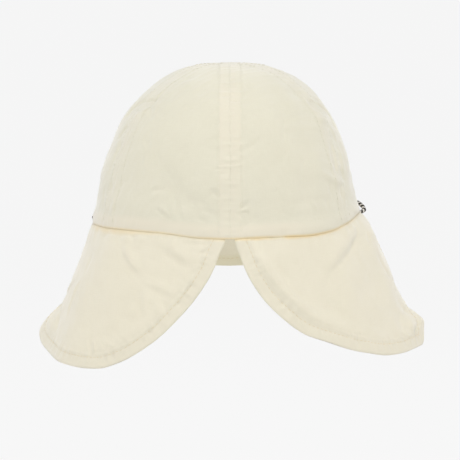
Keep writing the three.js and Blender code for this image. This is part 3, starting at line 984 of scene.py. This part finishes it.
def peak_base(azimuth, depth):
    """The peak's smooth middle surface, bending down as it goes."""
    below = np.maximum(depth, 0)
    droop = np.radians(PEAK_DROOP + PEAK_BEND * below / 2)
    inset = FLAP_INSET + (TUCK_INSET - FLAP_INSET) * smooth_step(2, -1, depth)
    point = crown_base(azimuth, np.zeros_like(azimuth))
    point = point + outward(azimuth) * (below * np.cos(droop) - inset)[..., None]
    point[..., 2] -= np.where(depth > 0, depth * np.sin(droop), depth) + PEAK_SEWN_DROP
    return point


def peak_surface(azimuth, depth):
    """The peak's outer and inner faces and normals."""
    base = peak_base(azimuth, depth)
    normal = normals_of(peak_base, azimuth, depth)
    normal = normal * np.where(normal[..., 2:] < 0, -1, 1)
    away = peak_depth(np.abs(azimuth - 180)) - depth
    across = np.radians(azimuth - 180) * (EDGE_HALF_WIDTH + np.maximum(depth, 0))
    settle = smooth_step(0, 14, depth)
    relief = settle * uneven(across, depth, "peak_broad")
    relief += settle * uneven(across, depth, "peak_fine")
    relief += settle * puckered(across, away - HEM_STITCH, "peak_hem")
    relief += gathers(across, depth, "peak_gathers")
    middle = base + normal * relief[..., None]
    half = hemmed_half(PEAK_HALF, HEM_HALF + 0.1, away, fade=0.5)
    groove = PEAK_GROOVE * bell(away - HEM_STITCH, PEAK_GROOVE_WIDTH)
    thick = normal * (half - groove)[..., None]
    return middle + thick, middle - thick, normal


def faces_outward(points, faces):
    """The faces, as lists, turned so that the closed mesh's volume is positive."""
    a, b, c, d = (points[faces[:, k]] for k in range(4))
    volume = (a * np.cross(b, c)).sum() + (a * np.cross(c, d)).sum()
    return (faces[:, ::-1] if volume < 0 else faces).tolist()


def place_object(name, data):
    """A new object in the scene."""
    placed = bpy.data.objects.new(name, data)
    bpy.context.scene.collection.objects.link(placed)
    return placed


def new_piece(name, points, faces, material, coordinates=None, shares=()):
    """A smooth mesh from millimetre points, riding on the hat, with its cloth coordinates.

    The shares tell at each point how much of another colour the cloth takes, by label, such as the
    painted warm shade where pieces join.
    """
    mesh = bpy.data.meshes.new(name)
    mesh.from_pydata((points * METRES).tolist(), [], faces)
    mesh.polygons.foreach_set("use_smooth", np.ones(len(mesh.polygons), bool))
    if coordinates is not None:
        layer = mesh.uv_layers.new(name="cloth")
        corner = np.empty(len(mesh.loops), np.int32)
        mesh.loops.foreach_get("vertex_index", corner)
        laid = coordinates[corner] * METRES * CLOTH_SCALE
        layer.data.foreach_set("uv", laid.astype(np.float32).ravel())
    for label, values in dict(shares).items():
        layer = mesh.attributes.new(label, "FLOAT", "POINT")
        layer.data.foreach_set("value", values.astype(np.float32))
    mesh.materials.append(material)
    piece = place_object(name, mesh)
    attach(piece, "root")
    return piece


def shell_faces(rows, columns):
    """Quads of a closed wall with two grids of rows by columns points, the front one first."""
    index = np.arange(rows * columns).reshape(rows, columns)
    back = index + rows * columns

    def quads(a, b, c, d):
        return np.stack([a.ravel(), b.ravel(), c.ravel(), d.ravel()], 1)

    return np.concatenate([
        quads(index[:-1, :-1], index[:-1, 1:], index[1:, 1:], index[1:, :-1]),
        quads(back[:-1, :-1], back[1:, :-1], back[1:, 1:], back[:-1, 1:]),
        quads(index[0, :-1], back[0, :-1], back[0, 1:], index[0, 1:]),
        quads(index[-1, :-1], index[-1, 1:], back[-1, 1:], back[-1, :-1]),
        quads(index[:-1, 0], index[1:, 0], back[1:, 0], back[:-1, 0]),
        quads(index[:-1, -1], back[:-1, -1], back[1:, -1], index[1:, -1]),
    ])


def cloth_shell(name, front, back, across, along, material, slot, doubled, joint):
    """A closed cloth wall from two grids of points, with the weave's place at each of them."""
    points = np.concatenate([front.reshape(-1, 3), back.reshape(-1, 3)])
    faces = faces_outward(points, shell_faces(*front.shape[:2]))
    across, along, doubled, joint = (np.tile(g.ravel(), 2) for g in (across, along, doubled, joint))
    shares = {"doubled": doubled, "joint": joint}
    return new_piece(name, points, faces, material, np.stack([across, along], -1), shares)


def stitches(name, paths, material):
    """Rows of thread along paths, each a pair of points and normals. A stitch is a short lozenge."""
    around = np.linspace(0, TURN, THREAD_SIDES, endpoint=False)[:, None]
    side = np.arange(THREAD_SIDES)
    after = (side + 1) % THREAD_SIDES
    lozenge = np.stack([side, after, THREAD_SIDES + after, THREAD_SIDES + side], 1)
    all_points, all_faces = [], []
    for points, normals in paths:
        travelled = path_travel(points)
        centres = np.arange(STITCH_PITCH / 2, travelled[-1] - STITCH_PITCH / 2, STITCH_PITCH)
        for centre in centres:
            here = on_path(centre, travelled, points)
            up = unit(on_path(centre, travelled, normals))
            heading = unit(on_path(centre + 1, travelled, points) - here)
            sideways = np.cross(up, heading)
            ring = np.cos(around) * sideways + THREAD_FLATNESS * np.sin(around) * up
            for index, station in enumerate(STITCH_OUTLINE):
                if index > 0:
                    all_faces.append(lozenge + THREAD_SIDES * (len(all_points) - 1))
                middle = here + heading * station["along"] * STITCH_LENGTH
                all_points.append(middle + ring * THREAD_RADIUS * station["size"])
    points = np.concatenate(all_points)
    faces = faces_outward(points, np.concatenate(all_faces))
    return new_piece(name, points, faces, material)


def node_tree(name):
    """A new material and its empty node tree."""
    material = bpy.data.materials.new(name)
    material.use_nodes = True
    tree = material.node_tree
    tree.nodes.clear()
    return material, tree


def add_node(tree, kind, settings=(), numbered=(), **named):
    """A new node with its settings, and its inputs set or linked by number or name."""
    node = tree.nodes.new(kind)
    for key, value in dict(settings).items():
        setattr(node, key, value)
    inputs = [(key.replace("_", " "), value) for key, value in named.items()]
    for key, value in [*numbered, *inputs]:
        if isinstance(value, bpy.types.NodeSocket):
            tree.links.new(value, node.inputs[key])
        else:
            node.inputs[key].default_value = value
    return node


def blended(tree, share, colour, other):
    """A colour that turns into another by a share from 0 to 1."""
    opaque = [(*value, 1) if isinstance(value, tuple) else value for value in (colour, other)]
    settings = {"data_type": "RGBA"}
    blend = add_node(tree, "ShaderNodeMix", settings, zip((6, 7), opaque), Factor=share)
    return blend.outputs[2]


def noise(tree, place, scale, detail):
    """Soft noise from 0 to 1."""
    made = add_node(tree, "ShaderNodeTexNoise", Vector=place, Scale=scale, Detail=detail)
    return made.outputs["Fac"]


def stretched(tree, place, scale):
    """Coordinates scaled by axis."""
    return add_node(tree, "ShaderNodeMapping", Vector=place, Scale=scale).outputs["Vector"]


def summed(tree, one, other):
    """The sum of two values."""
    terms = ((0, one), (1, other))
    return add_node(tree, "ShaderNodeMath", {"operation": "ADD"}, terms).outputs[0]


def bumped(tree, height, strength, distance, **under):
    """A normal bumped by a height, over another bump's normal if there is one."""
    sizes = {"Strength": strength, "Distance": distance}
    return add_node(tree, "ShaderNodeBump", Height=height, **sizes, **under).outputs["Normal"]


# How densely threads and fibres lie along and across the cloth's coordinates, and how matt they are
WARP_THREADS = (260, 18, 1)
WEFT_THREADS = (18, 260, 1)
YARN_FIBRES = (300, 60, 1)
YARN_ROUGHNESS = 0.8
MATT_CLOTH = {
    "Roughness": 0.85,
    "Specular_IOR_Level": 0.25,
    "Sheen_Weight": 0.8,
    "Sheen_Roughness": 0.5,
}


def cloth_material(name, colour, shade, through, doubled, joint):
    """Woven cloth: slubs both ways, a soft mottle, fine crinkles and a little light through.

    Where the cloth lies double it takes a colour of its own, and where two pieces join it takes a
    painted warm shade.
    """
    material, tree = node_tree(name)
    place = add_node(tree, "ShaderNodeUVMap", {"uv_map": "cloth"}).outputs["UV"]
    warp, weft = (
        noise(tree, stretched(tree, place, threads), scale=1, detail=2)
        for threads in (WARP_THREADS, WEFT_THREADS)
    )
    weave = summed(tree, warp, weft)
    mottle = noise(tree, place, scale=6, detail=3)
    crinkle = noise(tree, place, scale=22, detail=4)
    tint = summed(tree, weave, mottle)
    share = add_node(tree, "ShaderNodeMapRange", Value=tint, From_Min=1.1, From_Max=1.9)
    tone = blended(tree, share.outputs["Result"], shade, colour)
    # the joint label's colour is painted warm shade, for the crevices where pieces join
    for label, other in (("doubled", doubled), ("joint", joint)):
        if other:
            where = add_node(tree, "ShaderNodeAttribute", {"attribute_name": label})
            tone = blended(tree, where.outputs["Fac"], tone, other)
    low = bumped(tree, crinkle, strength=0.35, distance=0.0006)
    fine = bumped(tree, weave, strength=0.5, distance=0.00012, Normal=low)
    body = add_node(tree, "ShaderNodeBsdfPrincipled", Base_Color=tone, Normal=fine, **MATT_CLOTH)
    lit = add_node(tree, "ShaderNodeBsdfTranslucent", Color=tone, Normal=fine)
    shaders = ((1, body.outputs["BSDF"]), (2, lit.outputs["BSDF"]))
    both = add_node(tree, "ShaderNodeMixShader", (), shaders, Fac=through)
    add_node(tree, "ShaderNodeOutputMaterial", Surface=both.outputs["Shader"])
    return material


def yarn_material(name, colour, shade):
    """Twisted yarn: fine fibres along the cord, matt."""
    material, tree = node_tree(name)
    place = add_node(tree, "ShaderNodeUVMap", {"uv_map": "cloth"}).outputs["UV"]
    fibre = noise(tree, stretched(tree, place, YARN_FIBRES), scale=1, detail=3)
    tone = blended(tree, fibre, shade, colour)
    bump = bumped(tree, fibre, strength=0.6, distance=0.0001)
    looks = {"Base_Color": tone, "Roughness": YARN_ROUGHNESS, "Normal": bump}
    body = add_node(tree, "ShaderNodeBsdfPrincipled", **looks)
    add_node(tree, "ShaderNodeOutputMaterial", Surface=body.outputs["BSDF"])
    return material


# The painted warm shade for the crevices where pieces join, and each cloth: its colour, its shade
# for the weave's mottle, how much light goes through, and the colours of doubled cloth and of the
# painted joint shade where it has them
JOINT_SHADE = (0.91, 0.75, 0.44)
CLOTHS = table(
    "name colour shade through doubled joint",
    ("crown_cloth", (0.80, 0.775, 0.645), (0.765, 0.74, 0.605), 0.16, (0.83, 0.785, 0.65), JOINT_SHADE),
    ("flap_cloth", (0.85, 0.81, 0.675), (0.815, 0.775, 0.635), 0.18, (0.82, 0.78, 0.645), JOINT_SHADE),
    # the peak's cloth is painted lighter than the flaps' and the crown's: painted light for its
    # shaded underside, which shows between the flaps
    ("peak_cloth", (0.90, 0.865, 0.755), (0.87, 0.835, 0.72), 0.68, (0.88, 0.845, 0.71), JOINT_SHADE),
    ("crown_thread", (0.80, 0.775, 0.645), (0.76, 0.735, 0.60), 0.1, None, None),
    # the hem thread's colour is the thread's own, darkened with painted shade round the sunk
    # stitches
    ("hem_thread", (0.81, 0.71, 0.50), (0.73, 0.63, 0.42), 0.05, None, None),
)
crown_cloth, flap_cloth, peak_cloth, crown_thread, hem_thread = (
    cloth_material(**cloth) for cloth in CLOTHS
)
dark_yarn = yarn_material("dark_yarn", (0.035, 0.028, 0.022), (0.014, 0.011, 0.009))
pale_yarn = yarn_material("pale_yarn", (0.80, 0.78, 0.74), (0.62, 0.60, 0.56))


# A panel's mesh: its columns' distances from the seam, fine over the seam's band, how many columns
# fill each half beyond them, its lowest rows, where the rows above those start, how many they are,
# and how far under the crown's top they end
BAND_COLUMNS = np.array([0, 0.25, 0.5, 0.8, 1.3, 2.1, 3.1, 4.2, 5.1, 5.6, 6, 6.4, 6.9, 7.6, 8.6])
INSIDE_COLUMNS = 32
EDGE_ROWS = (0, 0.25, 0.5, 0.8, 1.2, 1.7, 2.3, 3, 3.8, 4.7, 5.7, 6.8)
UPPER_START = 7.6
UPPER_ROWS = 150
TOP_GAP = 0.15


def crown_panel(name, first_azimuth, cad_node):
    """One of the crown's six panels, from seam to seam and from the edge to the top."""
    upper = np.linspace(UPPER_START, PROFILE_LENGTH - TOP_GAP, UPPER_ROWS)
    above = np.concatenate([EDGE_ROWS, upper])
    rise = np.interp(above, PROFILE_LENGTHS, PROFILE_RISES)
    middle = first_azimuth + PANEL_SPAN / 2
    half = np.radians(PANEL_SPAN / 2) * crown_per_radian(middle, rise)
    squeeze = np.minimum(1, half / (2.2 * BAND_COLUMNS[-1]))
    edge_part = BAND_COLUMNS * squeeze[:, None]
    last = edge_part[:, -1:]
    inner_part = last + (half[:, None] - last) * np.linspace(0, 1, INSIDE_COLUMNS + 1)[1:]
    offsets = np.concatenate([edge_part, inner_part], 1) / half[:, None]
    left = middle - PANEL_SPAN / 2 * (1 - offsets)
    right = middle + PANEL_SPAN / 2 * (1 - offsets[:, -2::-1])
    azimuth = np.concatenate([left, right], 1)
    rises = np.repeat(rise[:, None], azimuth.shape[1], 1)
    outer, normal = crown_surface(azimuth, rises)
    taper = smooth_step(0, 3, above)[:, None, None]
    inner = crown_base(azimuth, rises) - normal * (CLOTH + 0.3 * (1 - taper))
    along = np.repeat(above[:, None], azimuth.shape[1], 1)
    across = np.radians(azimuth - middle) * crown_per_radian(middle, rises)
    laid = across + CROWN_ON_WEAVE + first_azimuth * PANEL_STEP_ON_WEAVE
    seam_side = np.minimum(azimuth - first_azimuth, first_azimuth + PANEL_SPAN - azimuth)
    away = np.radians(seam_side) * crown_per_radian(azimuth, rises)
    nearest_seam = np.where(azimuth < middle, first_azimuth, first_azimuth + PANEL_SPAN)
    back_show = seam_show(section_height(rises * LAST_SECTION))
    strength = np.where(nearest_seam % 180 == 0, back_show, SIDE_SEAM_SHOW)
    patchy = 0.85 + 0.3 * ripple(along, 13, first_azimuth) * ripple(along, 5.1, 7)
    band_share = strength * patchy * smooth_step(SEAM_BAND + 0.9, SEAM_BAND - 0.9, away)
    doubled = np.maximum(band_share, smooth_step(10, 5, along) * band_show(wrap(azimuth)))
    # painted warm shade along the crown's rolled lower edge, in the crevice over the flaps and peak
    joint = joint_shade_share(wrap(azimuth)) * smooth_step(1.5, 0.3, along)
    looks = (crown_cloth, "crown_cloth", doubled, joint)
    piece = cloth_shell(name, outer, inner, laid, along, *looks)
    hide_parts(cad_node)
    return piece


PANELS = table(
    "name node first_azimuth",
    ("panel_back_right", "crown_back_right", 0),
    ("panel_side_right", "crown_side_right", 60),
    ("panel_front_right", "crown_front_right", 120),
    ("panel_front_left", "crown_front_left", 180),
    ("panel_side_left", "crown_side_left", 240),
    ("panel_back_left", "crown_back_left", 300),
)
for panel in PANELS:
    made = crown_panel(panel["name"], panel["first_azimuth"], panel["node"])


def crown_topstitch():
    """Thread on both sides of each crown seam."""
    paths = []
    above = np.linspace(3.5, PROFILE_LENGTH - 9, 260)
    rise = np.interp(above, PROFILE_LENGTHS, PROFILE_RISES)
    for seam in SEAM_AZIMUTHS:
        for side in (-1, 1):
            azimuth = seam + side * np.degrees(SEAM_BAND / crown_per_radian(seam, rise))
            points, normal = crown_surface(azimuth, rise)
            paths.append((points + normal * SEAM_THREAD_RAISED, normal))
    stitches("crown_topstitch", paths, crown_thread)


crown_topstitch()


def spaced(length, hem, fine, coarse):
    """Shares of a length, fine over a hem at its far end and coarse before it."""
    plain = np.linspace(0, length - hem, max(2, round((length - hem) / coarse)))
    hemmed = np.linspace(length - hem, length, max(2, round(hem / fine)))[1:]
    return np.concatenate([plain, hemmed]) / length


def hem_stitches(name, outer, inner, normal, raised):
    """The thread that shows on both faces of a hem."""
    paths = [(outer + normal * raised, normal), (inner - normal * raised, -normal)]
    # the thread's colour holds painted shade round the stitches
    stitches(name, paths, hem_thread)


# Where a flap's rows nearest the seam stand, and where those below start, as shares of the way to
# its lowest edge
FLAP_SEAM_ROWS = (0, 0.02, 0.035, 0.05, 0.06, 0.07, 0.08, 0.095)
FLAP_SEAM_SHARE = 0.11


def neck_flap(name, outline, side, seed, ridge, cad_node):
    """One neck flap and the stitches of its hem."""
    shape = FlapShape(outline, side, seed, ridge)
    half = spaced(65, hem=10, fine=0.5, coarse=0.9)
    u = np.concatenate([(1 - half[::-1]) / 2, (1 + half[1:]) / 2])
    lower = spaced(75, hem=10, fine=0.5, coarse=0.8)
    v = np.concatenate([FLAP_SEAM_ROWS, FLAP_SEAM_SHARE + (1 - FLAP_SEAM_SHARE) * lower])
    azimuth, depth = np.moveaxis(shape.patch(*np.meshgrid(u, v)), -1, 0)
    outer, inner, _, away = shape.surface(azimuth, depth)
    laid = azimuth * flap_per_degree(azimuth, depth) + FLAP_ON_WEAVE * side
    # painted warm shade under the crown's edge, reaching further down the flap on the left
    joint = joint_shade_share(azimuth) * smooth_step(joint_shade_reach(azimuth), 0.2, depth)
    looks = (flap_cloth, "flap_cloth", hem_share(away), joint)
    piece = cloth_shell(name, outer, inner, laid, depth, *looks)
    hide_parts(cad_node)
    outer, inner, normal, _ = shape.surface(*shape.stitch_line())
    hem_stitches(name + "_stitches", outer, inner, normal, FLAP_THREAD_RAISED)


neck_flap("neck_flap_left", FLAP_LEFT_OUTLINE, -1, 101, HEM_RIDGE_LEFT, "flap_left")
neck_flap("neck_flap_right", FLAP_RIGHT_OUTLINE, 1, 205, HEM_RIDGE_RIGHT, "flap_right")


def soft_peak():
    """The peak and the stitches of its hem."""
    azimuth = 180 + np.linspace(-PEAK_HALF_SPAN, PEAK_HALF_SPAN, 150)
    share = np.concatenate([[0], spaced(52, hem=9, fine=0.5, coarse=1.5)])
    deepest = peak_depth(np.abs(azimuth - 180))
    depth = np.where(np.arange(len(share))[:, None] == 0, -TUCK, share[:, None] * deepest[None])
    azimuth = np.repeat(azimuth[None], len(share), 0)
    outer, inner, _ = peak_surface(azimuth, depth)
    laid = np.radians(azimuth) * (EDGE_HALF_WIDTH + np.maximum(depth, 0)) + PEAK_ON_WEAVE
    # painted warm shade where the peak tucks under the crown's edge
    joint = joint_shade_share(wrap(azimuth)) * smooth_step(2.6, 0.6, depth)
    looks = (peak_cloth, "peak_cloth", hem_share(deepest - depth), joint)
    piece = cloth_shell("soft_peak", outer, inner, laid, depth, *looks)
    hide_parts("peak")
    line = 180 + np.linspace(-PEAK_HALF_SPAN + 5, PEAK_HALF_SPAN - 5, 400)
    outer, inner, normal = peak_surface(line, peak_depth(np.abs(line - 180)) - HEM_STITCH)
    hem_stitches("peak_stitches", outer, inner, normal, PEAK_THREAD_RAISED)


soft_peak()


def cord_path():
    """The cord's centre line, evenly spaced, with the outward direction at each point."""
    height, stand_off = smooth_columns(CORD_ROUTE, "azimuth")
    azimuth = np.linspace(CORD_ROUTE[0]["azimuth"], CORD_ROUTE[-1]["azimuth"], 3000)
    rise = section_at(np.maximum(height(azimuth), 0)) / LAST_SECTION
    points = crown_base(azimuth, rise)
    points[:, 2] += np.minimum(height(azimuth), 0)
    clear = CORD_RADIUS + hem_roll(height(azimuth)) + 0.1 + stand_off(azimuth)
    points = points + outward(azimuth) * clear[:, None]
    travelled = path_travel(points)
    even = np.arange(0, travelled[-1], CORD_STEP)
    out = outward(np.interp(even, travelled, azimuth))
    return even, on_path(even, travelled, points), out


def front_cord():
    """A two-strand twisted cord, one strand dark and one pale."""
    along, centre, out = cord_path()
    heading = unit(np.gradient(centre, axis=0))
    side = unit(np.cross(heading, out))
    up = np.cross(side, heading)
    turn = TURN * np.arange(CORD_SIDES) / CORD_SIDES
    twist = TURN * along[:, None] / CORD_LAY
    radius = CORD_RADIUS * (1 - CORD_LOBE + CORD_LOBE * np.cos(2 * turn))
    angle = turn[None] + twist
    spread = np.cos(angle)[..., None] * side[:, None] + np.sin(angle)[..., None] * up[:, None]
    points = centre[:, None] + spread * radius[None, :, None]
    rows = len(centre)
    index = np.arange(rows * CORD_SIDES).reshape(rows, CORD_SIDES)
    after = np.roll(index, -1, 1)
    quads = np.stack([index[:-1], after[:-1], after[1:], index[1:]], -1).reshape(-1, 4)
    faces = quads.tolist() + [index[0, ::-1].tolist(), index[-1].tolist()]
    laid = np.stack(np.broadcast_arrays(turn, along[:, None]), -1).reshape(-1, 2)
    piece = new_piece("temple_cord", points.reshape(-1, 3), faces, dark_yarn, laid)
    piece.data.materials.append(pale_yarn)
    pale = np.tile(np.arange(CORD_SIDES) >= CORD_DARK_SIDES, rows - 1)
    strand = np.append(pale, [False, False]).astype(np.int32)
    piece.data.polygons.foreach_set("material_index", strand)
    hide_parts("front_cord")


front_cord()


def stage_floor():
    """A wide pale floor below the hat that glows, so that it stays even."""
    half = FLOOR_SIDE / 2
    corners = [(x * half, y * half, FLOOR_Z) for x, y in ((-1, -1), (1, -1), (1, 1), (-1, 1))]
    mesh = bpy.data.meshes.new("floor")
    mesh.from_pydata(corners, [], [(0, 1, 2, 3)])
    material, tree = node_tree("floor")
    glow = add_node(tree, "ShaderNodeEmission", Color=(*BACKGROUND, 1), Strength=FLOOR_GLOW)
    matt = add_node(tree, "ShaderNodeBsdfDiffuse", Color=(FLOOR_MATT, FLOOR_MATT, FLOOR_MATT, 1))
    shaders = ((0, glow.outputs["Emission"]), (1, matt.outputs["BSDF"]))
    both = add_node(tree, "ShaderNodeAddShader", (), shaders)
    add_node(tree, "ShaderNodeOutputMaterial", Surface=both.outputs["Shader"])
    mesh.materials.append(material)
    floor = place_object("floor", mesh)
    for kind in ("diffuse", "glossy", "transmission", "shadow"):
        setattr(floor, "visible_" + kind, False)


def studio_light(name, place, size, power, blue):
    """A large soft box aimed at the hat, warmer the less blue it has."""
    light = bpy.data.lights.new(name, "AREA")
    light.shape = "SQUARE"
    light.size = size
    light.energy = power
    light.color = (1, (1 + blue) / 2, blue)
    box = place_object(name, light)
    direction = np.array(LIGHT_TARGET) - np.array(place)
    yaw = math.atan2(direction[0], -direction[1])
    pitch = math.atan2(math.hypot(direction[0], direction[1]), -direction[2])
    box.location = place
    box.rotation_euler = (pitch, 0, yaw + math.pi)
    box.visible_camera = False


def camera():
    """The camera behind the hat and a little above it."""
    data = bpy.data.cameras.new("camera")
    data.sensor_width = SENSOR_WIDTH
    data.lens = SENSOR_WIDTH * CAMERA_DISTANCE / METRES_PER_PIXEL / PHOTO_SIDE
    data.clip_start, data.clip_end = 0.05, 200
    eye = place_object("camera", data)
    level = CAMERA_DISTANCE * math.cos(CAMERA_ELEVATION)
    eye.location = (0, -level, CAMERA_TARGET_Z + CAMERA_DISTANCE * math.sin(CAMERA_ELEVATION))
    eye.rotation_euler = (math.pi / 2 - CAMERA_ELEVATION, 0, 0)
    bpy.context.scene.camera = eye


def surroundings():
    """Soft light from all round, brighter from above."""
    world = bpy.data.worlds.new("studio")
    world.use_nodes = True
    tree = world.node_tree
    place = add_node(tree, "ShaderNodeTexCoord")
    axes = add_node(tree, "ShaderNodeSeparateXYZ", Vector=place.outputs["Generated"])
    share = add_node(tree, "ShaderNodeMapRange", Value=axes.outputs["Z"], From_Min=-1)
    ramp = add_node(tree, "ShaderNodeValToRGB", Fac=share.outputs["Result"])
    stops = ramp.color_ramp.elements
    for row in SURROUND[1:-1]:
        stops.new((row["upward"] + 1) / 2)
    for stop, row in zip(stops, SURROUND):
        stop.color = (row["brightness"], row["brightness"], row["brightness"], 1)
    ray = add_node(tree, "ShaderNodeLightPath")
    tone = blended(tree, ray.outputs["Is Camera Ray"], ramp.outputs["Color"], BACKGROUND)
    tree.links.new(tone, tree.nodes["Background"].inputs["Color"])
    bpy.context.scene.world = world
    bpy.context.scene.view_settings.view_transform = "Standard"


stage_floor()
for lamp in LIGHTS:
    place = (lamp["x"], lamp["y"], lamp["z"])
    studio_light(lamp["name"], place, lamp["side"], lamp["power"], lamp["blue"])
surroundings()
camera()
